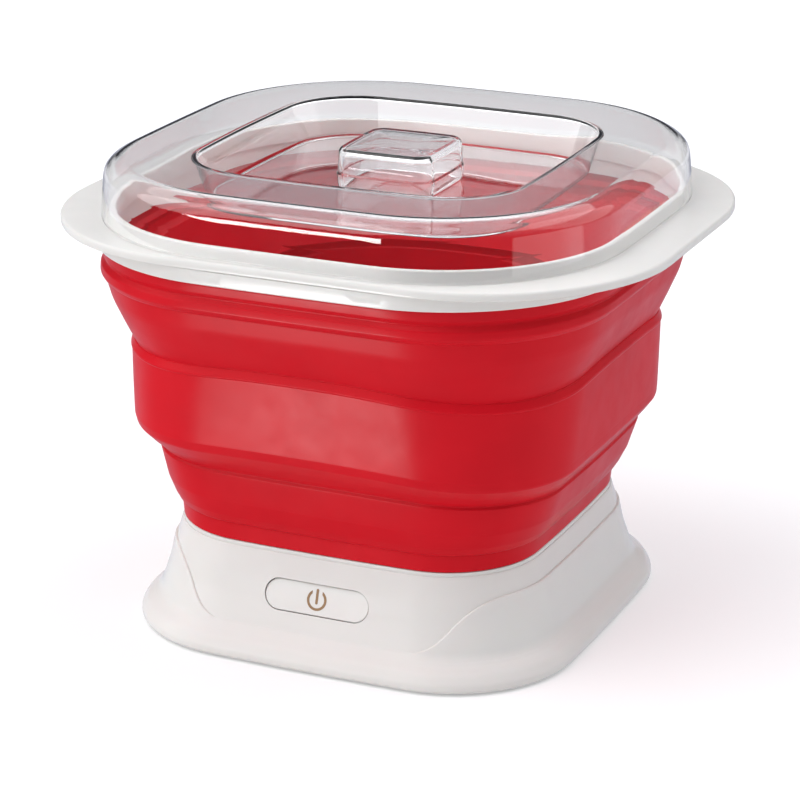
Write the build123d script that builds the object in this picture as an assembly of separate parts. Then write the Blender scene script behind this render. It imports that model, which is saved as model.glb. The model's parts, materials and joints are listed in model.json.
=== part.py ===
"""Collapsible yogurt maker: a heated square base carries a fold-down silicone vessel with a white
rim and ear grips, closed by a clear lid. Millimetres, +Z up, the power button faces -Y and the
ears point along X."""

import os
from math import atan2, cos, degrees, sin, sqrt

from build123d import *

# ---- shared proportions -------------------------------------------------------------------
SIDE_BOW = 3.0          # how far each side of the rounded square bulges at its middle
GAP = 0.3               # between pieces that move against each other
SILICONE = 2.5          # wall of the silicone vessel

# ---- base ---------------------------------------------------------------------------------
SHELL_BOTTOM = 1.0
SHELL_TOP = 45.2
SHELL_WALL = 2.5
SHELL_OUTER = [(1.0, 100.0, 56.0), (4.5, 99.7, 56.0), (8.5, 97.5, 54.4), (11.0, 94.3, 52.0),
               (13.8, 91.1, 49.3), (26.0, 87.1, 46.0), (36.0, 85.1, 44.0), (45.2, 82.7, 42.3)]
SKIRT_OUTER = [(13.8, 92.0, 50.0), (26.0, 88.0, 46.8), (35.4, 86.1, 45.0), (36.2, 85.5, 44.4)]
WAVE = [(41.0, 13.4), (47.0, 14.7), (53.0, 17.5), (58.0, 21.6), (63.0, 26.6), (68.0, 30.8),
        (74.0, 34.2), (80.0, 36.0), (84.0, 36.6)]
RING_TOP = 47.0
WELL_HALF, WELL_CORNER = 71.5, 33.0
WELL_WALL = 2.0
TRAY_BOTTOM, TRAY_FLOOR = 24.0, 26.0
POST_AT, POST_RADIUS = 48.0, 4.5

# ---- heater stack, from the tray floor up ----------------------------------------------------
PAD_TOP, MAT_TOP, PLATE_TOP = 27.6, 29.0, 31.0
CLAMP_TOP, CLAMP_BOTTOM = 24.0, 22.6
PLATE_SCREW_AT = 22.0
SENSOR_HOLE = 5.3

# ---- underside ----------------------------------------------------------------------------
COVER_BOTTOM, COVER_TOP = 2.0, 4.5
FOOT_AT, FOOT_RADIUS, PLUG_RADIUS = 66.0, 10.0, 4.0
BOARD_BOTTOM, BOARD_TOP = 8.0, 9.6
BOARD_Y, BOARD_WIDTH, BOARD_DEPTH = 38.0, 74.0, 46.0
BOARD_HOLES = [(x, BOARD_Y + y) for x in (-33.0, 33.0) for y in (-19.0, 19.0)]

# ---- power button, built in a frame lying on the leaning front wall --------------------------
WALL_LEAN = atan2(SHELL_OUTER[4][1] - SHELL_OUTER[5][1], SHELL_OUTER[5][0] - SHELL_OUTER[4][0])
BUTTON_HEIGHT = 28.4
BUTTON_FACE = 91.1 - 4.0 * (BUTTON_HEIGHT - 13.8) / 12.2
BUTTON_FRAME = Plane(origin=(0, -BUTTON_FACE, BUTTON_HEIGHT), x_dir=(1, 0, 0),
                     z_dir=(0, -cos(WALL_LEAN), sin(WALL_LEAN))).location
PILL_LENGTH, PILL_HEIGHT, PILL_GAP = 48.5, 14.1, 0.4
BUTTON_STEM_END = -4.8

# ---- mains inlet on the back ----------------------------------------------------------------
INLET_FRONT, INLET_BACK = 92.0, 76.3
INLET_WIDTH, INLET_HEIGHT, INLET_Z = 26.0, 13.0, 22.0
PIN_AT, PIN_RADIUS = 4.4, 1.2

# ---- vessel -------------------------------------------------------------------------------
PAN_HALF, PAN_CORNER, PAN_SHEET = 70.0, 32.0, 0.8
PAN_BOTTOM = PLATE_TOP + GAP
FLANGE_BOTTOM = 48.3
FLANGE_HALF = 79.5
LOWER_BAND = [(47.3, 82.0, 41.8), (54.5, 82.5, 42.2), (56.5, 83.8, 43.0), (62.0, 86.0, 44.6),
              (70.0, 88.0, 46.0), (79.3, 89.2, 46.8), (80.5, 89.0, 46.6)]
FOOT_TOP = 51.0
LOWER_FOLD = [(80.5, 88.8, 46.4), (82.0, 89.9, 47.1), (87.0, 94.3, 50.4), (90.0, 97.2, 52.6),
              (92.0, 98.6, 53.7)]
MIDDLE_BAND = [(92.0, 98.9, 54.0), (95.0, 99.8, 54.8), (113.0, 101.0, 57.8),
               (127.8, 102.0, 61.0), (129.4, 101.8, 60.9), (130.5, 101.0, 60.4)]
UPPER_FOLD = [(130.5, 100.8, 60.2), (133.0, 102.0, 61.2), (139.0, 104.8, 63.4),
              (148.0, 108.9, 66.6), (156.5, 111.6, 68.6)]
TOP_BAND = [(156.5, 111.8, 68.8), (158.0, 113.0, 70.4), (160.5, 113.5, 71.4),
            (162.3, 112.9, 71.9), (163.5, 112.2, 72.2), (164.8, 113.0, 74.0),
            (167.0, 114.1, 76.2), (169.0, 114.5, 77.2), (176.5, 114.5, 77.2)]

# ---- rim ----------------------------------------------------------------------------------
COLLAR_BOTTOM, PLATE_UNDER, FLANGE_TOP, LIP_TOP = 170.2, 176.5, 180.2, 185.3
CLAMP_RING_BOTTOM = 169.5
EAR_HALF, COLLAR_HALF, COLLAR_CORNER = 134.0, 117.5, 83.0
LIP_OUTER, LIP_INNER = (111.6, 76.6), (108.8, 74.0)
CLAMP_RING_INNER = (109.2, 72.0)

# ---- lid ----------------------------------------------------------------------------------
LID_BOTTOM = FLANGE_TOP + GAP
LID_WALL = 2.0
LID_OUTER = [(LID_BOTTOM, 115.0, 80.0), (190.0, 114.4, 79.4), (196.0, 113.8, 78.8),
             (199.5, 112.5, 77.4), (202.3, 110.2, 75.0), (204.2, 107.2, 72.2),
             (205.0, 104.0, 69.0)]
LID_INNER = [(LID_BOTTOM, 113.0, 78.0), (190.0, 112.4, 77.4), (196.0, 111.8, 76.8),
             (199.1, 110.5, 75.4), (201.5, 108.2, 73.1), (202.7, 105.6, 70.5),
             (203.0, 103.5, 68.5)]
RECESS_FLOOR = 188.0
RECESS = [(RECESS_FLOOR, 68.5, 30.0), (205.0, 73.5, 33.0)]
BOWL = [(RECESS_FLOOR - LID_WALL, 69.9, 31.4), (205.0, 75.6, 35.1)]
KNOB_OUTER = [(188.0, 22.2, 8.0), (194.2, 22.9, 8.6), (194.8, 22.4, 8.2), (203.9, 21.9, 7.9),
              (205.4, 20.7, 6.9)]
KNOB_INNER = [(188.0, 20.0, 6.0), (194.5, 20.5, 6.3), (203.2, 19.7, 5.8)]
KNOB_BOSS = [(188.0, 16.0, 5.0), (191.5, 15.2, 4.6)]


# ---- building blocks ------------------------------------------------------------------------
def outline(half, corner, z=0.0, bow=SIDE_BOW):
    """Flat face: a square with rounded corners whose four sides bow gently outwards."""
    side_radius = (half**2 + bow**2) / (2 * bow)
    side_centre = half - side_radius
    corner_centre = (side_centre + sqrt(2 * (side_radius - corner)**2 - side_centre**2)) / 2
    turn = atan2(corner_centre, corner_centre - side_centre)
    near, far = side_centre + side_radius * cos(turn), side_radius * sin(turn)
    tip = corner_centre + corner / sqrt(2)
    quarter = (ThreePointArc((near, -far), (half, 0), (near, far))
               + ThreePointArc((near, far), (tip, tip), (far, near)))
    loop = Curve() + [Rot(0, 0, 90 * i) * edge for i in range(4) for edge in quarter.edges()]
    return Pos(0, 0, z) * make_face(loop)


def tower(sections, bow=SIDE_BOW):
    """Solid running straight from each (height, half width, corner radius) to the next."""
    return loft([outline(half, corner, z, bow) for z, half, corner in sections], ruled=True)


def inset(sections, wall):
    return [(z, half - wall, corner - wall) for z, half, corner in sections]


def sleeve(sections, wall):
    """Open tube of even wall behind the given outer sections."""
    return tower(sections) - tower(inset(sections, wall))


def block(half, corner, bottom, top):
    return tower([(bottom, half, corner), (top, half, corner)])


def rod(radius, x, y, bottom, top):
    return Pos(x, y, (bottom + top) / 2) * Cylinder(radius, top - bottom)


def slab(width, depth, x, y, bottom, top):
    return Pos(x, y, (bottom + top) / 2) * Box(width, depth, top - bottom)


def corners(at):
    return [(x, y) for x in (-at, at) for y in (-at, at)]


def on_wall(shape, depth):
    """Place a shape drawn about Z on the leaning front wall, its base at the given depth."""
    return BUTTON_FRAME * (Pos(0, 0, depth) * shape)


def pill(length, height, thickness):
    return extrude(SlotOverall(length, height), thickness)


def wire(points, radius):
    path = Spline(*points)
    return sweep(Plane(origin=path @ 0, z_dir=path % 0) * Circle(radius), path=path)


# ---- base ---------------------------------------------------------------------------------
def inlet_block():
    return Pos(0, (INLET_FRONT + INLET_BACK) / 2, INLET_Z) * Box(
        INLET_WIDTH, INLET_FRONT - INLET_BACK, INLET_HEIGHT)


def base_shell():
    inner = inset(SHELL_OUTER, SHELL_WALL)
    inner[0] = (1.0, 97.2, 53.2)
    inner[1] = (4.8, 97.2, 53.2)
    opening = on_wall(pill(PILL_LENGTH, PILL_HEIGHT, 8.0), -5.0)
    return tower(SHELL_OUTER) - tower(inner) - opening - inlet_block()


def wave_region():
    """Everything above the swept line across the front, where the side skirt is cut away."""
    right = Spline(*WAVE, tangents=[(1, 0), (1, 0)])
    left = mirror(right, about=Plane.YZ)
    (x0, z0), (x1, z1) = WAVE[0], WAVE[-1]
    top = 40.0
    edges = right + left + Line((-x0, z0), (x0, z0)) + Polyline(
        (x1, z1), (x1, top), (-x1, top), (-x1, z1))
    return Pos(0, -40, 0) * extrude(Plane.XZ * make_face(edges), 70)


def side_skirt():
    return tower(SKIRT_OUTER) - tower(SHELL_OUTER) - wave_region() - inlet_block()


def base_top_ring():
    outer = tower([(SHELL_TOP, 82.1, 41.9), (46.4, 82.1, 41.9), (RING_TOP, 81.6, 41.4)])
    return outer - block(WELL_HALF, WELL_CORNER, SHELL_TOP, RING_TOP)


def well_tray():
    tray = block(WELL_HALF + WELL_WALL, WELL_CORNER + WELL_WALL, TRAY_BOTTOM, SHELL_TOP)
    tray -= block(WELL_HALF, WELL_CORNER, TRAY_FLOOR, SHELL_TOP)
    for x, y in corners(POST_AT):
        tray += rod(POST_RADIUS, x, y, COVER_TOP, TRAY_BOTTOM)
        tray -= rod(1.6, x, y, COVER_TOP, 16.0)
    return tray - stack_holes(TRAY_BOTTOM, TRAY_FLOOR) - rod(3.0, 36, 36, TRAY_BOTTOM, TRAY_FLOOR)


def stack_holes(bottom, top):
    """Holes that the plate screws and the temperature sensor pass through."""
    holes = rod(SENSOR_HOLE, 0, 0, bottom, top)
    for x, y in corners(PLATE_SCREW_AT):
        holes += rod(1.6, x, y, bottom, top)
    return holes


def insulation_pad():
    pad = block(64.0, 27.0, TRAY_FLOOR, PAD_TOP) - stack_holes(TRAY_FLOOR, PAD_TOP)
    return pad - rod(3.0, 36, 36, TRAY_FLOOR, PAD_TOP)


def heater_mat():
    return block(58.0, 22.0, PAD_TOP, MAT_TOP) - stack_holes(PAD_TOP, MAT_TOP)


def warming_plate():
    plate = block(66.0, 29.0, MAT_TOP, PLATE_TOP)
    for x, y in corners(PLATE_SCREW_AT):
        plate -= rod(1.5, x, y, MAT_TOP, 30.2)
    return plate


def heater_clamp_plate():
    plate = extrude(Pos(0, 0, CLAMP_BOTTOM) * RectangleRounded(60, 60, 6), CLAMP_TOP - CLAMP_BOTTOM)
    return plate - stack_holes(CLAMP_BOTTOM, CLAMP_TOP)


def plate_screws():
    screws = []
    for x, y in corners(PLATE_SCREW_AT):
        head = rod(3.2, x, y, 20.6, CLAMP_BOTTOM)
        head -= slab(3.6, 0.9, x, y, 20.6, 21.5) + slab(0.9, 3.6, x, y, 20.6, 21.5)
        screws.append(head + rod(1.5, x, y, CLAMP_BOTTOM, 30.2))
    return Compound(screws)


def temperature_sensor():
    return rod(5.0, 0, 0, 24.6, MAT_TOP) + rod(3.0, 0, 0, 19.5, 24.6)


def sensor_clip():
    clip = slab(30, 7, 0, 0, CLAMP_BOTTOM - 0.8, CLAMP_BOTTOM) - rod(3.1, 0, 0, 20, 24)
    return clip


def thermal_fuse():
    return Pos(0, -17, CLAMP_BOTTOM - 2.4) * Rot(0, 90, 0) * Cylinder(2.4, 14)


def power_board():
    board = slab(BOARD_WIDTH, BOARD_DEPTH, 0, BOARD_Y, BOARD_BOTTOM, BOARD_TOP)
    for x, y in BOARD_HOLES:
        board -= rod(1.4, x, y, BOARD_BOTTOM, BOARD_TOP)
    return board


def board_screws():
    screws = []
    for x, y in BOARD_HOLES:
        head = rod(2.6, x, y, BOARD_TOP, 11.0) - slab(3.2, 0.8, x, y, 10.4, 11.0)
        screws.append(head + rod(1.3, x, y, 5.5, BOARD_TOP))
    return Compound(screws)


def transformer_core():
    core = slab(28, 20, -16, 32, BOARD_TOP, 18.8)
    for side in (-8.5, 8.5):
        core -= slab(5, 20, -16 + side, 32, BOARD_TOP + 2.6, 16.2)
    return core


def transformer_winding():
    winding = slab(22, 24, -16, 32, BOARD_TOP + 2.8, 16.0)
    return winding - slab(12, 20, -16, 32, BOARD_TOP + 2.8, 16.0)


def relay():
    case = slab(16, 11, 14, 25, BOARD_TOP, 18.8)
    return fillet(case.edges().filter_by(Axis.Z), 0.8)


def capacitor():
    can = rod(4.4, 29, 44, BOARD_TOP, 18.6)
    return chamfer(can.edges().sort_by(Axis.Z)[-1:], 0.5)


def terminal_block():
    case = slab(20, 9, 4, 55, BOARD_TOP, 17.0)
    for x in (-1.0, 9.0):
        case -= rod(2.0, x, 55, 14.0, 17.0)
        case -= slab(5, 4, x, 58.5, BOARD_TOP + 1.2, 13.6)
    return case


def bottom_cover():
    cover = block(97.0, 53.0, COVER_BOTTOM, COVER_TOP)
    for x, y in corners(FOOT_AT):
        cover -= rod(PLUG_RADIUS, x, y, COVER_BOTTOM, COVER_TOP)
    for x, y in corners(POST_AT):
        cover -= rod(1.7, x, y, COVER_BOTTOM, COVER_TOP) + rod(3.6, x, y, COVER_BOTTOM, 3.5)
    for x, y in BOARD_HOLES:
        cover += rod(3.2, x, y, COVER_TOP, BOARD_BOTTOM)
        cover -= rod(1.3, x, y, 5.5, BOARD_BOTTOM)
    for i in range(7):
        slot = Pos(0, -54 + 7 * i, COVER_BOTTOM) * SlotOverall(46, 3)
        cover -= extrude(slot, COVER_TOP - COVER_BOTTOM)
    return cover


def cover_screws():
    screws = []
    for x, y in corners(POST_AT):
        head = rod(3.2, x, y, 2.2, 3.5) - slab(4.0, 0.9, x, y, 2.2, 2.9)
        screws.append(head + rod(1.5, x, y, 3.5, 15.0))
    return Compound(screws)


def rubber_foot(x, y):
    pad = rod(FOOT_RADIUS, x, y, 0.0, COVER_BOTTOM)
    pad = chamfer(pad.edges().sort_by(Axis.Z)[:1], 0.4)
    return pad + rod(PLUG_RADIUS, x, y, COVER_BOTTOM, 5.4)


# ---- mains inlet and wiring -----------------------------------------------------------------
def power_inlet():
    body = inlet_block()
    socket = Pos(0, INLET_FRONT, INLET_Z) * extrude(Plane.XZ * SlotOverall(19, 9), 12.0)
    body -= socket
    for x in (-PIN_AT, PIN_AT):
        body -= Pos(x, 78, INLET_Z) * Rot(90, 0, 0) * Cylinder(PIN_RADIUS, 8)
    return body


def inlet_pins():
    return Compound([Pos(x, 79.5, INLET_Z) * Rot(90, 0, 0) * Cylinder(PIN_RADIUS, 15)
                     for x in (-PIN_AT, PIN_AT)])


def mains_wires():
    return Compound([wire([(x, 71.6, INLET_Z), (x, 67, 20), (1.2 * x + 2, 64, 13),
                           (1.136 * x + 4, 60.5, 12)], 1.0) for x in (-PIN_AT, PIN_AT)])


def heater_wires():
    return Compound([wire([(14 + x, 32, 13), (22 + x, 35, 17.5), (36 + 0.8 * x, 36, 22),
                           (36 + 0.8 * x, 36, PAD_TOP - 0.4)], 0.9) for x in (-1.6, 1.6)])


def sensor_wires():
    return Compound([wire([(x, 0, 19.2), (x, 2, 14), (x, 10, 11), (x, 18, BOARD_TOP + 0.8)], 0.7)
                     for x in (-1.2, 1.2)])


def signal_wires():
    return Compound([wire([(x, -72, 17.2), (x, -60, 9), (0.6 * x, -20, 7), (0.6 * x, 14.2, 8.8)], 0.6)
                     for x in (-3.0, 0.0, 3.0)])


# ---- power button ---------------------------------------------------------------------------
def symbol_shape(thickness):
    """Open ring with a bar standing in its gap."""
    ring = Circle(4.5) - Circle(3.4) - Pos(0, 4.0) * Rectangle(4.6, 4.4)
    bar = Pos(0, 1.5) * SlotOverall(6.6, 1.15, rotation=90)
    return extrude(ring, thickness) + extrude(bar, thickness)


def power_button():
    cap = pill(PILL_LENGTH - 2 * PILL_GAP, PILL_HEIGHT - 2 * PILL_GAP, 2.6)
    cap = fillet(cap.edges().group_by(Axis.Z)[-1], 0.5)
    flange = Pos(0, 0, -1.0) * pill(50.4, 15.2, 1.0)
    stem = Pos(0, 0, (BUTTON_STEM_END + 2.9 - 1.0) / 2) * Cylinder(2.0, -1.0 - BUTTON_STEM_END - 2.9)
    cap = cap + flange + stem
    return on_wall(cap - Pos(0, 0, 2.3) * symbol_shape(1.0), -2.9)


def power_symbol():
    return on_wall(symbol_shape(0.4), -0.6)


def button_housing():
    box = extrude(Rectangle(58, 17.4) - Rectangle(51.4, 15.8), 6.2)
    return on_wall(box, -9.4)


def switch_board():
    return on_wall(extrude(Rectangle(58, 17.4), 1.2), -10.6)


def tact_switch():
    case = extrude(RectangleRounded(6.2, 6.2, 0.5), 2.6)
    return on_wall(case, -9.4)


def switch_plunger():
    return on_wall(extrude(Circle(1.7), 0.7), -6.8)


def status_led():
    dome = extrude(Circle(1.5), 2.2)
    return on_wall(Pos(12, 0, 0) * fillet(dome.edges().group_by(Axis.Z)[-1], 1.2), -9.4)


# ---- vessel -------------------------------------------------------------------------------
def vessel_pan():
    inner_half, inner_corner = PAN_HALF - PAN_SHEET, PAN_CORNER - PAN_SHEET
    flange_top = FLANGE_BOTTOM + PAN_SHEET
    outer = tower([(PAN_BOTTOM, 66.5, 28.5), (PAN_BOTTOM + 1.2, 69.0, 31.0),
                   (PAN_BOTTOM + 3.5, PAN_HALF, PAN_CORNER), (flange_top, PAN_HALF, PAN_CORNER)])
    flange = block(FLANGE_HALF, 39.0, FLANGE_BOTTOM, flange_top)
    inner = tower([(PAN_BOTTOM + PAN_SHEET, 66.0, 28.0), (PAN_BOTTOM + 2.0, 68.2, 30.2),
                   (PAN_BOTTOM + 3.9, inner_half, inner_corner),
                   (flange_top, inner_half, inner_corner)])
    return outer + flange - inner


def silicone_lower_band():
    """Lowest band, thickened at its foot to grip the pan's flange from both sides."""
    band = tower(LOWER_BAND)
    band -= block(72.0, 33.5, LOWER_BAND[0][0], FOOT_TOP)
    cavity = [(FOOT_TOP, 79.8, 39.6)] + inset(LOWER_BAND[1:], SILICONE)
    band -= tower(cavity)
    return band - block(FLANGE_HALF, 39.0, FLANGE_BOTTOM, FLANGE_BOTTOM + PAN_SHEET)


def silicone_lower_fold():
    return sleeve(LOWER_FOLD, SILICONE)


def silicone_middle_band():
    return sleeve(MIDDLE_BAND, SILICONE)


def silicone_upper_fold():
    return sleeve(UPPER_FOLD, SILICONE)


def silicone_top_band():
    return sleeve(TOP_BAND, SILICONE)


# ---- rim ----------------------------------------------------------------------------------
def rim_collar():
    """White collar: ear plate, skirt over the silicone and the lip the lid fits round."""
    plate = Pos(0, 0, PLATE_UNDER) * RectangleRounded(
        2 * EAR_HALF, 2 * COLLAR_HALF, COLLAR_CORNER)
    plate = extrude(plate, FLANGE_TOP - PLATE_UNDER)
    plate = fillet(plate.edges().group_by(Axis.Z)[-1], 1.0)
    skirt = tower([(COLLAR_BOTTOM, 116.8, 79.4), (PLATE_UNDER, 117.3, 80.0)])
    skirt -= block(114.5, 77.2, COLLAR_BOTTOM, PLATE_UNDER)
    half, corner = LIP_OUTER
    lip = tower([(FLANGE_TOP, half, corner), (LIP_TOP - 0.6, half, corner),
                 (LIP_TOP, half - 0.6, corner - 0.6)])
    return plate + skirt + lip - block(*LIP_INNER, PLATE_UNDER, LIP_TOP)


def rim_clamp_ring():
    """White ring inside the rim that holds the silicone's edge."""
    ring = block(112.0, 74.7, CLAMP_RING_BOTTOM, PLATE_UNDER)
    return ring - block(*CLAMP_RING_INNER, CLAMP_RING_BOTTOM, PLATE_UNDER)


# ---- lid ----------------------------------------------------------------------------------
def lid_shell():
    dome = tower(LID_OUTER) - tower(LID_INNER)
    return dome + tower(BOWL) - tower(RECESS) + tower(KNOB_BOSS, bow=0.6)


def lid_knob():
    knob = tower(KNOB_OUTER, bow=0.6) - tower(KNOB_INNER, bow=0.6)
    mark = Pos(0, 0, KNOB_OUTER[-1][0]) * (Circle(3.3) - Circle(2.8))
    return knob - extrude(mark, -0.3)


PARTS = {
    "base_shell": base_shell,
    "side_skirt": side_skirt,
    "base_top_ring": base_top_ring,
    "well_tray": well_tray,
    "insulation_pad": insulation_pad,
    "heater_mat": heater_mat,
    "warming_plate": warming_plate,
    "heater_clamp_plate": heater_clamp_plate,
    "plate_screws": plate_screws,
    "temperature_sensor": temperature_sensor,
    "sensor_clip": sensor_clip,
    "thermal_fuse": thermal_fuse,
    "power_board": power_board,
    "board_screws": board_screws,
    "transformer_core": transformer_core,
    "transformer_winding": transformer_winding,
    "relay": relay,
    "capacitor": capacitor,
    "terminal_block": terminal_block,
    "bottom_cover": bottom_cover,
    "cover_screws": cover_screws,
    "power_inlet": power_inlet,
    "inlet_pins": inlet_pins,
    "mains_wires": mains_wires,
    "heater_wires": heater_wires,
    "sensor_wires": sensor_wires,
    "signal_wires": signal_wires,
    "power_button": power_button,
    "power_symbol": power_symbol,
    "button_housing": button_housing,
    "switch_board": switch_board,
    "tact_switch": tact_switch,
    "switch_plunger": switch_plunger,
    "status_led": status_led,
    "vessel_pan": vessel_pan,
    "silicone_lower_band": silicone_lower_band,
    "silicone_lower_fold": silicone_lower_fold,
    "silicone_middle_band": silicone_middle_band,
    "silicone_upper_fold": silicone_upper_fold,
    "silicone_top_band": silicone_top_band,
    "rim_collar": rim_collar,
    "rim_clamp_ring": rim_clamp_ring,
    "lid_shell": lid_shell,
    "lid_knob": lid_knob,
}

os.makedirs("parts", exist_ok=True)
for name, build in PARTS.items():
    export_step(build(), f"parts/{name}.step")
for number, (x, y) in enumerate(corners(FOOT_AT), start=1):
    export_step(rubber_foot(x, y), f"parts/rubber_foot_{number}.step")
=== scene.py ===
"""Looks of a collapsible yogurt maker: white heated base, red silicone vessel, white rim, clear lid."""

import json
import math

import bmesh
import bpy
import numpy as np
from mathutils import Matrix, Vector


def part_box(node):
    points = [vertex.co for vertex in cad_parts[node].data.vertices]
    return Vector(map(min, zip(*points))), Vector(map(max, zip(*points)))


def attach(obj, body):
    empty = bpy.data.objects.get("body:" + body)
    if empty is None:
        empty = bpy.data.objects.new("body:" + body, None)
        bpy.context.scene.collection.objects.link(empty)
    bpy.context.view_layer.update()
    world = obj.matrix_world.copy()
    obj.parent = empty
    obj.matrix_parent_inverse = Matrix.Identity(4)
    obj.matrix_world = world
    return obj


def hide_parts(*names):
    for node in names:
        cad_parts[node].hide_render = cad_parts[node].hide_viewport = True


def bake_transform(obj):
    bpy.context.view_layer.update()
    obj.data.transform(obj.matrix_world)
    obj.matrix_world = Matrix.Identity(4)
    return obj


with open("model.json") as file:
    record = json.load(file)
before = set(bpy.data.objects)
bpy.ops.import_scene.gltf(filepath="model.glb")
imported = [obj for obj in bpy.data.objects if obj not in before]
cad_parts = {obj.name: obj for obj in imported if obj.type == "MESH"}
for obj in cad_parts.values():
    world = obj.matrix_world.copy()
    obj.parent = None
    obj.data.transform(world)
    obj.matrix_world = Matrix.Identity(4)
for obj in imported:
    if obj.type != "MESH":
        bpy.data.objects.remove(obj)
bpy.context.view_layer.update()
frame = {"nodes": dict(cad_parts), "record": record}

MM = 0.001
BOW = 3.0


# ---------------------------------------------------------------- outlines and swept pieces
def outline(half, corner, bow=BOW, side_steps=12, corner_steps=22):
    """Points of a rounded square with bowed sides, anticlockwise from the middle of corner -X-Y."""
    side_radius = (half**2 + bow**2) / (2 * bow)
    side_centre = half - side_radius
    corner_centre = (side_centre + math.sqrt(2 * (side_radius - corner)**2 - side_centre**2)) / 2
    turn = math.atan2(corner_centre, corner_centre - side_centre)
    side = np.linspace(-turn, turn, side_steps, endpoint=False)
    bend = np.linspace(turn, math.pi / 2 - turn, corner_steps, endpoint=False)
    x = np.concatenate([side_centre + side_radius * np.cos(side),
                        corner_centre + corner * np.cos(bend)])
    y = np.concatenate([side_radius * np.sin(side), corner_centre + corner * np.sin(bend)])
    quarters = [(x, y), (-y, x), (-x, -y), (y, -x)]
    return np.concatenate([np.stack(q, axis=1) for q in quarters])


def ear_outline(half_x, half_y, corner, side_steps=12, corner_steps=22):
    """Rounded rectangle with the same point order as outline()."""
    points = []
    for i in range(4):
        across, along = (half_x, half_y) if i % 2 == 0 else (half_y, half_x)
        y = np.linspace(-(along - corner), along - corner, side_steps, endpoint=False)
        bend = np.linspace(0, math.pi / 2, corner_steps, endpoint=False)
        x = np.concatenate([np.full(side_steps, across), across - corner + corner * np.cos(bend)])
        y = np.concatenate([y, along - corner + corner * np.sin(bend)])
        for _ in range(i):
            x, y = -y, x
        points.append(np.stack([x, y], axis=1))
    return np.concatenate(points)


def soften(points, radii, steps=6):
    """Round the bends of a polyline of (half width, height); radii gives one radius per point."""
    points = [Vector(p) for p in points]
    out = []
    for i, p in enumerate(points):
        radius = radii[i]
        if radius <= 0 or i in (0, len(points) - 1):
            out.append(tuple(p))
            continue
        back, ahead = points[i - 1] - p, points[i + 1] - p
        angle = back.angle(ahead)
        reach = min(radius / math.tan(angle / 2), 0.48 * back.length, 0.48 * ahead.length)
        first, last = p + back.normalized() * reach, p + ahead.normalized() * reach
        for k in range(steps + 1):
            t = k / steps
            out.append(tuple(first * (1 - t)**2 + p * 2 * t * (1 - t) + last * t**2))
    return out


def make_mesh(name, verts, faces, sharp=32):
    """Smooth-shaded object with its normals outwards; edges over sharp degrees stay crisp."""
    mesh = bpy.data.meshes.new(name)
    mesh.from_pydata([tuple(v) for v in verts], [], faces)
    mesh.validate()
    bm = bmesh.new()
    bm.from_mesh(mesh)
    bmesh.ops.recalc_face_normals(bm, faces=bm.faces)
    bm.to_mesh(mesh)
    bm.free()
    mesh.shade_smooth()
    mesh.set_sharp_from_angle(angle=math.radians(sharp))
    obj = bpy.data.objects.new(name, mesh)
    bpy.context.scene.collection.objects.link(obj)
    return obj


def bridge(rows, close_profile=True, cap_first=False, cap_last=False):
    """Verts and faces of a stack of equal-length closed rings given as (N, 3) arrays."""
    count, around = len(rows), len(rows[0])
    verts = np.concatenate(rows)
    faces = []
    spans = count if close_profile else count - 1
    for i in range(spans):
        a, b = i * around, ((i + 1) % count) * around
        for j in range(around):
            k = (j + 1) % around
            faces.append((a + j, a + k, b + k, b + j))
    if cap_first:
        faces.append(tuple(reversed(range(around))))
    if cap_last:
        faces.append(tuple(range((count - 1) * around, count * around)))
    return verts, faces


def ring_at(half, z, corner, bow=BOW):
    """Closed ring of points in metres: the rounded square of that half width at height z."""
    flat = outline(half, corner, bow)
    return np.column_stack([flat, np.full(len(flat), z)]) * MM


def swept(name, profile, corner_of, bow=BOW, sharp=32, **how):
    """Sweep a profile of (half width, height) round the square; how goes to bridge()."""
    rows = [ring_at(half, z, corner_of(half), bow) for half, z in profile]
    verts, faces = bridge(rows, **how)
    return make_mesh(name, verts, faces, sharp)


def offset_inward(profile, wall):
    """The same profile run backwards, one wall thickness further in."""
    return [(half - wall, z) for half, z in reversed(profile)]


# ---------------------------------------------------------------- materials
def new_material(name):
    material = bpy.data.materials.new(name)
    material.use_nodes = True
    nodes = material.node_tree.nodes
    return material, nodes, material.node_tree.links, nodes["Principled BSDF"]


def noise(nodes, links, coords, scale, detail=3.0, stretch=None):
    """Noise factor over the piece's own coordinates, drawn out along an axis by stretch."""
    texture = nodes.new("ShaderNodeTexNoise")
    texture.inputs["Scale"].default_value = scale
    texture.inputs["Detail"].default_value = detail
    source = coords.outputs["Object"]
    if stretch:
        mapping = nodes.new("ShaderNodeMapping")
        mapping.inputs["Scale"].default_value = stretch
        links.new(source, mapping.inputs["Vector"])
        source = mapping.outputs["Vector"]
    links.new(source, texture.inputs["Vector"])
    return texture.outputs["Fac"]


def ramp(nodes, links, factor, low, high, start=0.3, end=0.7):
    """Blend two colours by a factor."""
    node = nodes.new("ShaderNodeValToRGB")
    node.color_ramp.elements[0].position, node.color_ramp.elements[1].position = start, end
    node.color_ramp.elements[0].color, node.color_ramp.elements[1].color = (*low, 1), (*high, 1)
    links.new(factor, node.inputs["Fac"])
    return node.outputs["Color"]


def spread(nodes, links, factor, low, high):
    """Map the middle of a noise factor's range to low..high."""
    node = nodes.new("ShaderNodeMapRange")
    node.inputs["From Min"].default_value, node.inputs["From Max"].default_value = 0.3, 0.7
    node.inputs["To Min"].default_value, node.inputs["To Max"].default_value = low, high
    links.new(factor, node.inputs["Value"])
    return node.outputs["Result"]


def bump(nodes, links, height, strength, distance, normal=None):
    node = nodes.new("ShaderNodeBump")
    node.inputs["Strength"].default_value = strength
    node.inputs["Distance"].default_value = distance
    links.new(height, node.inputs["Height"])
    if normal is not None:
        links.new(normal, node.inputs["Normal"])
    return node.outputs["Normal"]


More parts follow.
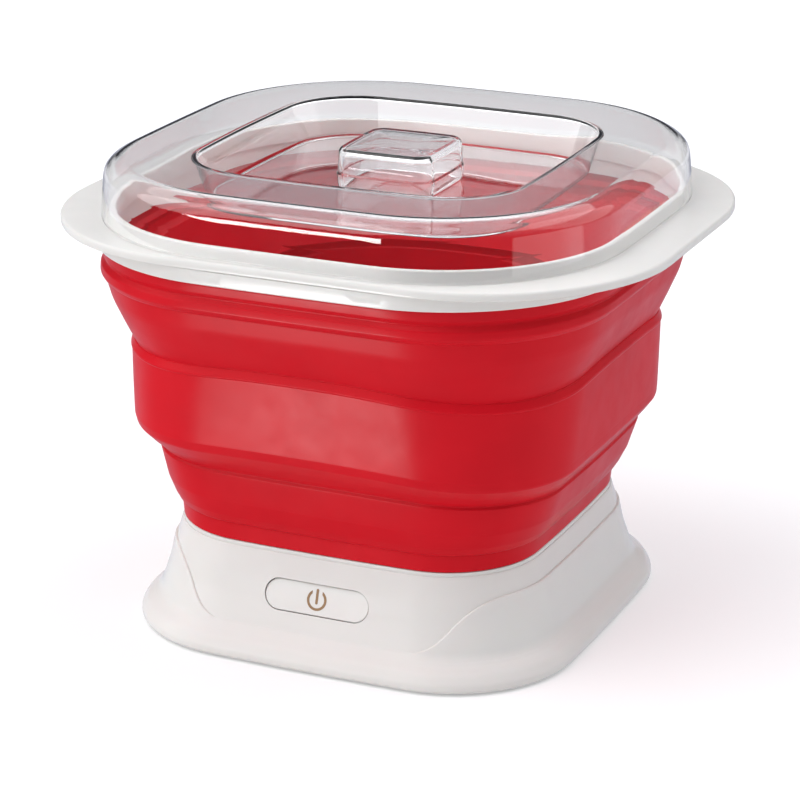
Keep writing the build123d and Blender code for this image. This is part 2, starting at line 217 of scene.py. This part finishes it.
def surface(name, colour, vary=0.04, rough=(0.3, 0.4), grain=1800.0, grain_depth=0.00002,
            wave_depth=0.0, stretch=None, **sockets):
    """Procedural material: colour drift, uneven roughness, surface grain and slow unevenness."""
    material, nodes, links, shader = new_material(name)
    coords = nodes.new("ShaderNodeTexCoord")
    drift = noise(nodes, links, coords, 35.0, 4.0)
    fine = noise(nodes, links, coords, grain, 2.0, stretch)
    low = tuple(c * (1 - vary) for c in colour)
    high = tuple(min(1.0, c * (1 + vary)) for c in colour)
    links.new(ramp(nodes, links, drift, low, high), shader.inputs["Base Color"])
    patchy = noise(nodes, links, coords, 90.0, 5.0)
    links.new(spread(nodes, links, patchy, *rough), shader.inputs["Roughness"])
    normal = bump(nodes, links, fine, 0.35, grain_depth)
    if wave_depth:
        slow = noise(nodes, links, coords, 22.0, 2.0)
        normal = bump(nodes, links, slow, 0.5, wave_depth, normal)
    links.new(normal, shader.inputs["Normal"])
    for socket, value in sockets.items():
        shader.inputs[socket.replace("_", " ")].default_value = value
    return material


def clear_plastic(name):
    """Clear moulded plastic with faint flow waves; its shadow lets most light through."""
    material, nodes, links, shader = new_material(name)
    coords = nodes.new("ShaderNodeTexCoord")
    flow = noise(nodes, links, coords, 30.0, 2.0)
    tint = ramp(nodes, links, flow, (0.975, 0.975, 0.985), (0.985, 0.985, 0.992))
    links.new(tint, shader.inputs["Base Color"])
    haze = noise(nodes, links, coords, 140.0, 4.0)
    links.new(spread(nodes, links, haze, 0.0, 0.012), shader.inputs["Roughness"])
    links.new(bump(nodes, links, flow, 0.25, 0.00006), shader.inputs["Normal"])
    shader.inputs["Transmission Weight"].default_value = 1.0
    shader.inputs["IOR"].default_value = 1.5
    through = nodes.new("ShaderNodeBsdfTransparent")
    through.inputs["Color"].default_value = (0.92, 0.92, 0.93, 1)
    path = nodes.new("ShaderNodeLightPath")
    mix = nodes.new("ShaderNodeMixShader")
    links.new(path.outputs["Is Shadow Ray"], mix.inputs["Fac"])
    links.new(shader.outputs["BSDF"], mix.inputs[1])
    links.new(through.outputs["BSDF"], mix.inputs[2])
    links.new(mix.outputs["Shader"], nodes["Material Output"].inputs["Surface"])
    return material


MATERIALS = {
    "white_gloss": surface("white_gloss", (0.70, 0.688, 0.658), 0.012, (0.18, 0.26), 2600, 0.00001,
                           0.00002, Subsurface_Weight=0.05, Subsurface_Scale=0.002,
                           Specular_IOR_Level=0.18),
    "white_lens": surface("white_lens", (0.70, 0.688, 0.658), 0.012, (0.18, 0.26), 2600, 0.00001,
                          Subsurface_Weight=0.05, Subsurface_Scale=0.002),
    "silicone_red": surface("silicone_red", (0.58, 0.006, 0.014), 0.04, (0.30, 0.38), 2200,
                            0.00002, 0.00006, Specular_IOR_Level=0.09),
    "clear_plastic": clear_plastic("clear_plastic"),
    "pan_steel": surface("pan_steel", (0.60, 0.60, 0.61), 0.05, (0.22, 0.34), 900, 0.00001,
                         stretch=(0.05, 1, 1), Metallic=1.0),
    "plate_aluminium": surface("plate_aluminium", (0.70, 0.70, 0.71), 0.05, (0.3, 0.45), 1200,
                               0.00002, Metallic=1.0),
    "clamp_steel": surface("clamp_steel", (0.50, 0.51, 0.53), 0.08, (0.3, 0.5), 1200, 0.00002,
                           Metallic=1.0),
    "heater_rubber": surface("heater_rubber", (0.45, 0.15, 0.04), 0.08, (0.6, 0.75), 1500, 0.00003),
    "insulation_felt": surface("insulation_felt", (0.70, 0.67, 0.60), 0.12, (0.85, 0.98), 900,
                               0.0003),
    "tray_plastic": surface("tray_plastic", (0.66, 0.65, 0.63), 0.03, (0.42, 0.55), 1800, 0.00004),
    "inner_plastic": surface("inner_plastic", (0.57, 0.57, 0.56), 0.03, (0.45, 0.6), 1600, 0.00005),
    "screw_steel": surface("screw_steel", (0.55, 0.56, 0.58), 0.1, (0.25, 0.4), 2000, 0.00002,
                           Metallic=1.0),
    "foot_rubber": surface("foot_rubber", (0.07, 0.07, 0.072), 0.15, (0.7, 0.85), 1400, 0.00006),
    "board_green": surface("board_green", (0.012, 0.09, 0.035), 0.15, (0.3, 0.42), 700, 0.00004),
    "core_black": surface("core_black", (0.015, 0.015, 0.017), 0.2, (0.55, 0.7), 1500, 0.00005),
    "winding_tape": surface("winding_tape", (0.72, 0.45, 0.02), 0.08, (0.25, 0.4), 500, 0.00008,
                            stretch=(1, 1, 8)),
    "relay_blue": surface("relay_blue", (0.02, 0.07, 0.30), 0.08, (0.3, 0.42), 1600, 0.00003),
    "capacitor_can": surface("capacitor_can", (0.03, 0.035, 0.06), 0.1, (0.25, 0.35), 1500,
                             0.00002),
    "terminal_green": surface("terminal_green", (0.02, 0.17, 0.06), 0.08, (0.4, 0.55), 1500,
                              0.00004),
    "black_plastic": surface("black_plastic", (0.012, 0.012, 0.013), 0.2, (0.4, 0.55), 1600,
                             0.00005),
    "pin_brass": surface("pin_brass", (0.62, 0.43, 0.16), 0.06, (0.2, 0.3), 1500, 0.00001,
                         Metallic=1.0),
    "wire_brown": surface("wire_brown", (0.09, 0.03, 0.012), 0.1, (0.4, 0.5), 1500, 0.00003),
    "wire_white": surface("wire_white", (0.75, 0.73, 0.69), 0.05, (0.4, 0.5), 1500, 0.00003),
    "wire_grey": surface("wire_grey", (0.22, 0.23, 0.25), 0.1, (0.4, 0.5), 1500, 0.00003),
    "wire_yellow": surface("wire_yellow", (0.70, 0.45, 0.02), 0.08, (0.4, 0.5), 1500, 0.00003),
    "sensor_metal": surface("sensor_metal", (0.55, 0.42, 0.20), 0.08, (0.25, 0.4), 1500, 0.00002,
                            Metallic=1.0),
    "fuse_ceramic": surface("fuse_ceramic", (0.78, 0.76, 0.70), 0.05, (0.5, 0.65), 1500, 0.00004),
    "switch_black": surface("switch_black", (0.02, 0.02, 0.022), 0.2, (0.45, 0.6), 1500, 0.00004),
    "plunger_white": surface("plunger_white", (0.70, 0.70, 0.68), 0.04, (0.4, 0.5), 1500, 0.00003),
    "led_lens": surface("led_lens", (0.90, 0.62, 0.30), 0.05, (0.2, 0.3), 1500, 0.00002,
                        Transmission_Weight=0.6),
    "symbol_bronze": surface("symbol_bronze", (0.22, 0.125, 0.058), 0.12, (0.35, 0.5), 1200,
                             0.00003, Metallic=0.4),
}


def finish_piece(obj, slot, body, *nodes):
    """Give a made piece the material named by slot and its body, and hide the CAD nodes it stands for.
    """
    obj.data.materials.clear()
    obj.data.materials.append(MATERIALS[slot])
    if body:
        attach(obj, body)
    if nodes:
        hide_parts(*nodes)
    return obj


# ---------------------------------------------------------------- base
SHELL = [(97.2, 1.0), (99.2, 1.0), (100.0, 2.2), (99.9, 4.5), (97.6, 8.4), (94.4, 11.0),
         (91.7, 13.6), (91.1, 14.4), (87.1, 26.0), (85.1, 36.0), (82.75, 44.4), (82.4, 45.2)]
SHELL_SOFT = [0, 0.8, 1.2, 5.0, 9.0, 6.0, 1.0, 1.0, 30.0, 60.0, 0.6, 0]


def base_corner(half):
    return float(np.interp(half, [71.5, 82.3, 92.0, 100.0], [33.0, 42.2, 50.0, 56.0]))


WALL_FOOT, WALL_BEND = (91.1, 13.8), (87.1, 26.0)
BUTTON_Z, PILL_LENGTH, PILL_HEIGHT = 28.4, 48.2, 13.8


def wall_half(z):
    """Half width of the upper panel of the base at height z."""
    return float(np.interp(z, [WALL_FOOT[1], WALL_BEND[1], 36.0, 45.2],
                           [WALL_FOOT[0], WALL_BEND[0], 85.1, 82.7]))


SKIRT_FOOT, SKIRT_PROUD = 11.0, 0.9
WAVE_X = [41.0, 47.0, 53.0, 58.0, 63.0, 68.0, 74.0, 80.0, 84.0]
WAVE_Z = [13.8, 14.7, 17.5, 21.6, 26.6, 30.8, 34.2, 36.0, 36.2]


def smooth_curve(x, xs, zs):
    """Cubic through the given points with level ends."""
    i = int(np.clip(np.searchsorted(xs, x) - 1, 0, len(xs) - 2))
    slopes = np.gradient(zs, xs)
    slopes[0] = slopes[-1] = 0.0
    h = xs[i + 1] - xs[i]
    t = (x - xs[i]) / h
    return ((2 * t**3 - 3 * t**2 + 1) * zs[i] + (t**3 - 2 * t**2 + t) * h * slopes[i]
            + (3 * t**2 - 2 * t**3) * zs[i + 1] + (t**3 - t**2) * h * slopes[i + 1])


def skirt_top(x, y):
    """Height of the side skirt's swept upper edge above a point of the outline."""
    if y > -40.0 or abs(x) >= WAVE_X[-1]:
        return WAVE_Z[-1]
    if abs(x) <= WAVE_X[0]:
        return WAVE_Z[0]
    return smooth_curve(abs(x), WAVE_X, WAVE_Z)


def shell_half(z):
    """Half width of the base shell at height z, from the skirt's foot upwards."""
    if z > 14.4:
        return wall_half(z)
    return float(np.interp(z, [SKIRT_FOOT, 13.6, 14.4], [94.4, 91.7, 91.1]))


def skirt_half(z):
    """Half width of the side skirt at height z: proud of the wall, running out into the flare."""
    if z > 26.0:
        return wall_half(z) + SKIRT_PROUD
    hollow = soften([(88.0, 26.0), (92.0, 13.5), (94.3, SKIRT_FOOT)], [0, 8.0, 0], 10)
    halves, heights = zip(*reversed(hollow))
    return float(np.interp(z, heights, halves))


def side_skirt():
    """Raised band round the sides and back, its top edge sweeping down across the front."""
    steps = {"side_steps": 60, "corner_steps": 90}
    edge_radius, buried, depth = 0.55, 0.05, 1.6
    flat = outline(90.0, base_corner(90.0), **steps)
    tops = np.array([skirt_top(x, y) for x, y in flat])
    raised = tops > WAVE_Z[0] + 0.05
    right = np.flatnonzero((flat[:, 0] > 0) & (flat[:, 1] < -60) & raised)
    start = int(right[np.argmin(flat[right, 0])])
    order = [(start + i) % len(flat) for i in range(len(flat))]
    order = [i for i in order if raised[i]]
    levels = np.linspace(0.0, 1.0, 14)**1.5
    bends = [(math.sin(a), 1 - math.cos(a)) for a in np.linspace(0, math.pi / 2, 6)[1:]]
    columns = []
    for i in order:
        top = tops[i]
        fade = min(1.0, (top - WAVE_Z[0]) / 1.6)
        soft = edge_radius * fade
        points = [(SKIRT_FOOT + (top - soft - SKIRT_FOOT) * t, 0.0) for t in levels]
        points += [(top - soft + soft * rise, soft * drop) for rise, drop in bends]
        points += [(top, depth), (SKIRT_FOOT, depth)]
        column = []
        for z, back in points:
            shell = shell_half(z)
            half = shell + (skirt_half(z) - shell) * fade - back - buried
            ring = outline(half, base_corner(half), **steps)
            column.append((*ring[i], z))
        columns.append(np.array(column) * MM)
    count = len(columns[0])
    verts = np.concatenate(columns)
    faces = []
    for c in range(len(columns) - 1):
        for r in range(count):
            s = (r + 1) % count
            faces.append((c * count + r, (c + 1) * count + r, (c + 1) * count + s, c * count + s))
    faces.append(tuple(range(count)))
    faces.append(tuple(reversed(range((len(columns) - 1) * count, len(columns) * count))))
    return make_mesh("side_skirt_piece", verts, faces, 40)


def cut(obj, *cutters):
    """Subtract closed meshes from a piece and remove them."""
    for cutter in cutters:
        modifier = obj.modifiers.new("cut", "BOOLEAN")
        modifier.object = cutter
        modifier.operation = "DIFFERENCE"
        modifier.solver = "EXACT"
        with bpy.context.temp_override(object=obj, active_object=obj, selected_objects=[obj]):
            bpy.ops.object.modifier_apply(modifier=modifier.name)
        bpy.data.objects.remove(cutter)
    obj.data.shade_smooth()
    obj.data.set_sharp_from_angle(angle=math.radians(32))
    return obj


def pill_cutter():
    """Prism through the front wall that matches the button's opening."""
    lean = math.atan2(WALL_FOOT[0] - WALL_BEND[0], WALL_BEND[1] - WALL_FOOT[1])
    face = WALL_FOOT[0] - (BUTTON_Z - WALL_FOOT[1]) * math.tan(lean)
    centre = Vector((0, -face, BUTTON_Z)) * MM
    out = Vector((0, -math.cos(lean), math.sin(lean)))
    up = Vector((0, math.sin(lean), math.cos(lean)))
    radius = PILL_HEIGHT / 2
    half = PILL_LENGTH / 2 - radius
    loop = [(half + radius * math.cos(a), radius * math.sin(a))
            for a in np.linspace(-math.pi / 2, math.pi / 2, 25)]
    loop += [(-x, -y) for x, y in loop]
    verts = []
    for depth in (-5.0, 3.0):
        verts += [centre + Vector((x * MM, 0, 0)) + up * (y * MM) + out * (depth * MM)
                  for x, y in loop]
    n = len(loop)
    faces = [(i, (i + 1) % n, n + (i + 1) % n, n + i) for i in range(n)]
    faces += [tuple(reversed(range(n))), tuple(range(n, 2 * n))]
    return make_mesh("cutter", verts, faces)


def box_cutter(low, high):
    (x0, y0, z0), (x1, y1, z1) = low, high
    verts = [(x, y, z) for z in (z0, z1) for y in (y0, y1) for x in (x0, x1)]
    faces = [(0, 1, 3, 2), (4, 6, 7, 5), (0, 4, 5, 1), (2, 3, 7, 6), (0, 2, 6, 4), (1, 5, 7, 3)]
    return make_mesh("cutter", verts, faces)


def inlet_cutter():
    low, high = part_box("power_inlet")
    return box_cutter(tuple(low), tuple(high))


def base_shell():
    outer = soften(SHELL, SHELL_SOFT)
    inner = [(79.9, 45.2), (82.6, 36.0), (84.6, 26.0), (88.6, 13.8), (95.0, 8.5), (97.2, 4.8)]
    shell = swept("base_shell_piece", outer + inner, base_corner)
    return cut(shell, pill_cutter(), inlet_cutter())


def base_ring():
    profile = soften([(71.5, 45.2), (82.1, 45.2), (82.15, 46.9), (71.6, 47.0), (71.5, 46.0)],
                     [0, 0.0, 0.6, 0.5, 0])
    return swept("base_top_ring_piece", profile, base_corner)


finish_piece(base_shell(), "white_gloss", "base", "base_shell")
finish_piece(cut(side_skirt(), inlet_cutter()), "white_gloss", "base", "side_skirt")
finish_piece(base_ring(), "white_gloss", "base", "base_top_ring")


# ---------------------------------------------------------------- silicone vessel
SEAMS = [80.9, 92.2, 131.2, 156.6]
# height, half width, corner radius, softening of the bend
WALL = [(47.3, 82.0, 41.8, 0), (54.9, 82.5, 42.2, 0.4), (55.5, 83.4, 42.8, 1.0),
        (59.0, 85.0, 44.0, 4), (66.0, 87.2, 45.5, 8), (79.2, 89.3, 46.8, 0.9),
        (80.3, 88.7, 46.5, 0.4), (80.9, 88.8, 46.6, 0.4), (82.6, 90.2, 47.4, 4),
        (87.2, 94.6, 50.6, 20), (92.2, 99.0, 54.0, 4), (96.0, 100.1, 54.9, 3),
        (113.0, 101.0, 57.8, 30), (126.8, 101.8, 60.9, 0.3), (127.5, 102.2, 61.2, 0.5),
        (128.3, 102.1, 61.2, 0.5), (130.9, 101.0, 60.5, 0.3), (131.2, 100.6, 60.2, 0.2),
        (131.8, 101.0, 60.5, 0.6), (134.5, 102.4, 61.4, 4), (140.0, 105.2, 63.7, 20),
        (148.0, 109.0, 66.6, 20), (155.8, 111.2, 68.3, 0.6), (156.6, 112.1, 69.0, 0.6),
        (158.2, 113.3, 70.4, 2.0), (161.4, 113.4, 71.6, 1.8), (163.5, 112.1, 72.2, 0.9),
        (165.6, 113.6, 74.6, 1.8), (169.0, 114.5, 77.2, 4), (176.5, 114.5, 77.2, 0)]
THICK = 2.5
# how far the wall hangs at the corners and on the +X side, and slips sideways, by height
DIP_Z = [50, 80, 92, 118, 130, 148, 158]
CORNER_DIP = [0, 0, 1, 2.2, 3.4, 1.0, 0]
SIDE_DIP = [0, 2.6, 3.6, 2.6, 2.2, 0.6, 0]
SLIP_Z, SLIP = [50, 66, 80.9, 92, 96], [0, 2.2, 4.2, 1.0, 0]


def silicone_corner(z):
    return float(np.interp(z, [w[0] for w in WALL], [w[2] for w in WALL]))


def sagged(flat, z):
    """Heights of a ring of silicone: folds sit a little lower at the corners and on one side."""
    around = np.abs(np.sin(2 * np.arctan2(flat[:, 1], flat[:, 0])))**3
    lean = np.clip(flat[:, 0] / 100, 0, 1)**2
    return (z - np.interp(z, DIP_Z, CORNER_DIP) * around - np.interp(z, DIP_Z, SIDE_DIP) * lean)


def silicone_ring(half, z):
    """Ring of the outer wall, or of the inner one when half is a wall thickness less."""
    steps = {"side_steps": 16, "corner_steps": 28}
    flat = outline(half, silicone_corner(z) - (THICK if half < wall_at(z) - 1 else 0), **steps)
    heights = sagged(flat, z)
    slip = np.interp(z, SLIP_Z, SLIP)
    flat = flat + np.outer(slip * np.clip(flat[:, 0] / 90, -0.35, 1), [1, 0])
    return np.column_stack([flat, heights]) * MM


def wall_at(z):
    return float(np.interp(z, [w[0] for w in WALL], [w[1] for w in WALL]))


def soft_wall():
    return soften([(w[1], w[0]) for w in WALL], [w[3] for w in WALL], 5)


def split_profile(profile, low, high, rows=0):
    """The stretch of a profile between two heights, with extra even rows if asked."""
    halves, heights = [p[0] for p in profile], [p[1] for p in profile]
    inside = [z for z in heights if low < z < high]
    extra = list(np.linspace(low, high, rows)) if rows else []
    levels = sorted({round(z, 4) for z in [low, high, *inside, *extra]})
    return [(float(np.interp(z, heights, halves)), z) for z in levels]


def silicone_mesh(name, profile):
    verts, faces = bridge([silicone_ring(half, z) for half, z in profile])
    return make_mesh(name, verts, faces, 50)


def silicone_piece(name, low, high, rows=0):
    """Closed stretch of the silicone wall between two heights."""
    outer = split_profile(soft_wall(), low, high, rows)
    return silicone_mesh(name, outer + offset_inward(outer, THICK))


def lower_band():
    """The lowest stretch, with the flat foot that lies on the base's top ring."""
    outer = split_profile(soft_wall(), WALL[0][0], SEAMS[0], 10)
    inner = [(half - THICK, z) for half, z in reversed(outer) if z > 52.5]
    foot = soften([(79.9, 51.8), (79.6, 51.0), (72.0, 51.0), (72.0, 47.3)], [0, 0.5, 0.8, 0])
    return silicone_mesh("silicone_lower_band_piece", outer + inner + foot)


finish_piece(lower_band(), "silicone_red", "vessel", "silicone_lower_band")
fold = finish_piece(silicone_piece("silicone_lower_fold_piece", SEAMS[0], SEAMS[1], 12),
                    "silicone_red", None, "silicone_lower_fold")
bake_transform(fold)
finish_piece(silicone_piece("silicone_middle_band_piece", SEAMS[1], SEAMS[2], 16),
             "silicone_red", "middle_band", "silicone_middle_band")
fold = finish_piece(silicone_piece("silicone_upper_fold_piece", SEAMS[2], SEAMS[3], 16),
                    "silicone_red", None, "silicone_upper_fold")
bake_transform(fold)
finish_piece(silicone_piece("silicone_top_band_piece", SEAMS[3], WALL[-1][0], 8),
             "silicone_red", "rim", "silicone_top_band")


# ---------------------------------------------------------------- rim
def rim_corner(half):
    return float(np.interp(half, [108.8, 111.6, 114.5, 117.5], [74.0, 76.6, 77.2, 80.0]))


EAR_HALF, COLLAR_HALF, EAR_CORNER = 134.0, 117.5, 83.0


def rim_piece():
    """Lip, ear plate and skirt swept as one; the plate's edge takes the ear outline."""
    low = [(108.8, 176.5), (108.8, 184.7), (109.0, 185.1), (109.4, 185.3), (111.0, 185.3),
           (111.4, 185.1), (111.6, 184.7), (111.6, 181.0), (111.9, 180.4), (112.6, 180.2),
           (115.6, 180.2)]
    rows = [ring_at(half, z, rim_corner(half)) for half, z in low]
    edge = [(1.4, 180.2), (0.9, 180.12), (0.35, 179.8), (0.08, 179.3), (0.0, 178.7),
            (0.0, 177.4), (0.25, 176.75), (0.8, 176.5)]
    for inset, z in edge:
        flat = ear_outline(EAR_HALF - inset, COLLAR_HALF - inset, EAR_CORNER - inset)
        rows.append(np.column_stack([flat, np.full(len(flat), z)]) * MM)
    under = [(117.25, 176.2), (116.85, 171.0), (116.6, 170.4), (116.2, 170.2), (115.0, 170.2),
             (114.5, 170.8), (114.5, 176.5)]
    rows += [ring_at(half, z, rim_corner(half)) for half, z in under]
    return make_mesh("rim_collar_piece", *bridge(rows), sharp=40)


finish_piece(rim_piece(), "white_gloss", "rim", "rim_collar")


# ---------------------------------------------------------------- lid
def lid_corner(half):
    return float(np.interp(half, [20.0, 66.0, 74.0, 76.5, 104.0, 115.0],
                           [8.0, 28.5, 33.2, 36.0, 69.0, 80.0]))


def lid_piece():
    outer = soften(
        [(15.0, 188.0), (68.4, 188.0), (73.5, 205.0), (106.5, 204.9), (113.2, 201.0),
         (114.3, 190.0), (115.0, 180.5), (113.0, 180.5)],
        [0, 2.2, 0.9, 9.0, 7.0, 30.0, 0.5, 0], 8)
    inner = soften(
        [(113.0, 180.5), (112.3, 190.0), (111.4, 199.9), (105.8, 203.25), (74.7, 203.3),
         (69.7, 186.4), (15.0, 186.4)],
        [0, 30.0, 5.5, 7.0, 1.6, 1.4, 0], 8)
    return swept("lid_shell_piece", outer + inner[1:], lid_corner,
                 close_profile=False, cap_first=True, cap_last=True)


def knob_corner(half):
    return max(1.0, half - 14.2)


def knob_piece():
    profile = soften(
        [(4.0, 205.4), (20.9, 205.4), (21.9, 203.8), (22.4, 194.9), (22.9, 194.2),
         (22.2, 188.05), (20.0, 188.05), (20.5, 194.5), (19.7, 203.2), (4.0, 203.2)],
        [0, 1.8, 1.4, 0.3, 0.5, 0.4, 0.2, 3.0, 1.8, 0], 5)
    return swept("lid_knob_piece", profile, knob_corner, bow=0.6,
                 close_profile=False, cap_first=True, cap_last=True)


finish_piece(lid_piece(), "clear_plastic", "lid", "lid_shell")
finish_piece(knob_piece(), "clear_plastic", "lid", "lid_knob")


# ---------------------------------------------------------------- CAD nodes that stay
for entry in frame["record"]["subparts"]:
    node = frame["nodes"].get(entry["node"])
    if node is None:
        continue
    node.data.materials.clear()
    node.data.materials.append(MATERIALS[entry["material_slot"]])


# ---------------------------------------------------------------- stage, camera and light
def backdrop():
    bpy.ops.mesh.primitive_plane_add(size=8.0, location=(0, 0, -0.0002))
    floor = bpy.context.object
    floor.name = "floor"
    material, nodes, links, shader = new_material("floor_white")
    coords = nodes.new("ShaderNodeTexCoord")
    tone = noise(nodes, links, coords, 3.0, 3.0)
    links.new(ramp(nodes, links, tone, (0.73, 0.73, 0.73), (0.76, 0.76, 0.76)),
              shader.inputs["Base Color"])
    shader.inputs["Roughness"].default_value = 0.6
    shader.inputs["Emission Color"].default_value = (1, 1, 1, 1)
    shader.inputs["Emission Strength"].default_value = 0.23
    floor.data.materials.append(material)
    floor.visible_glossy = False
    floor.visible_transmission = False


def aim(lamp, position, target):
    lamp.location = position
    lamp.rotation_euler = (Vector(target) - Vector(position)).to_track_quat("-Z", "Y").to_euler()


def area_light(name, position, target, size, glow):
    """Rectangular light that only shows in shiny and clear surfaces, at the given brightness."""
    data = bpy.data.lights.new(name, "AREA")
    data.shape = "RECTANGLE"
    data.size, data.size_y = size
    data.energy = glow * size[0] * size[1] * math.pi
    lamp = bpy.data.objects.new(name, data)
    bpy.context.scene.collection.objects.link(lamp)
    aim(lamp, position, target)
    lamp.visible_camera = False
    lamp.visible_diffuse = False


def sky_light(name, position, strength, spread):
    """Even light from far away; spread is how wide its source looks, in degrees."""
    data = bpy.data.lights.new(name, "SUN")
    data.energy = strength * math.pi
    data.angle = math.radians(spread)
    lamp = bpy.data.objects.new(name, data)
    bpy.context.scene.collection.objects.link(lamp)
    aim(lamp, position, (0, 0, 0))


def studio():
    """White to the eye; a dark room to reflections, bright low at the back and through plastic."""
    world = bpy.data.worlds.new("world")
    world.use_nodes = True
    nodes, links = world.node_tree.nodes, world.node_tree.links
    background = nodes["Background"]
    coords = nodes.new("ShaderNodeTexCoord")
    split = nodes.new("ShaderNodeSeparateXYZ")
    links.new(coords.outputs["Generated"], split.inputs["Vector"])

    def grade(value, start, end, low, high):
        node = nodes.new("ShaderNodeMapRange")
        node.interpolation_type = "SMOOTHSTEP"
        node.inputs["From Min"].default_value, node.inputs["From Max"].default_value = start, end
        node.inputs["To Min"].default_value, node.inputs["To Max"].default_value = low, high
        links.new(value, node.inputs["Value"])
        return node.outputs["Result"]

    def combine(kind, a, b):
        node = nodes.new("ShaderNodeMath")
        node.operation = kind
        links.new(a, node.inputs[0])
        links.new(b, node.inputs[1])
        return node.outputs["Value"]

    below = grade(split.outputs["Z"], -0.06, 0.04, 1.0, 0.0)
    behind = grade(split.outputs["Y"], -0.05, 0.25, 0.0, 0.78)
    low_back = combine("MULTIPLY", below, behind)
    above = grade(split.outputs["Z"], 0.0, 0.9, 0.10, 0.35)
    room = combine("ADD", combine("MULTIPLY", low_back, low_back), above)
    path = nodes.new("ShaderNodeLightPath")
    through = combine("MULTIPLY", path.outputs["Is Transmission Ray"],
                      grade(combine("ADD", split.outputs["Y"], split.outputs["Z"]),
                            -0.6, 0.5, 0.0, 0.92))
    seen = combine("MAXIMUM", path.outputs["Is Camera Ray"], through)
    links.new(combine("MAXIMUM", room, seen), background.inputs["Strength"])
    links.new(ramp(nodes, links, seen, (0.82, 0.84, 1.0), (1, 1, 1), 0.0, 1.0),
              background.inputs["Color"])
    bpy.context.scene.world = world


def camera():
    azimuth, elevation, distance = math.radians(24.07), math.radians(18.95), 1.2788
    data = bpy.data.cameras.new("camera")
    data.sensor_width, data.lens = 36.0, 132.1
    data.shift_x, data.shift_y = -0.0008, -0.0286
    obj = bpy.data.objects.new("camera", data)
    bpy.context.scene.collection.objects.link(obj)
    back = Vector((math.sin(azimuth) * math.cos(elevation),
                   -math.cos(azimuth) * math.cos(elevation), math.sin(elevation)))
    obj.location = Vector((0, 0, 0.1)) + back * distance
    obj.rotation_euler = (-back).to_track_quat("-Z", "Y").to_euler()
    bpy.context.scene.camera = obj


backdrop()
camera()
studio()
sky_light("overhead", (0.0, 0.05, 1.0), 0.67, 100)
sky_light("key", (-0.63, -0.53, 0.57), 0.60, 70)
sky_light("fill", (0.8, 0.5, 0.6), 0.17, 60)
area_light("card", (-0.092, -0.31, 0.001), (-0.092, -0.31, 1.0), (0.145, 0.10), 28.0)
area_light("strip", (-0.229, -0.55, 0.172), (-0.05, -0.11, 0.19), (0.335, 0.013), 24.0)
area_light("panel", (1.496, -0.105, -0.15), (0.0, 0.0, 0.19), (1.34, 0.9), 0.9)
bpy.context.scene.view_settings.view_transform = "Standard"
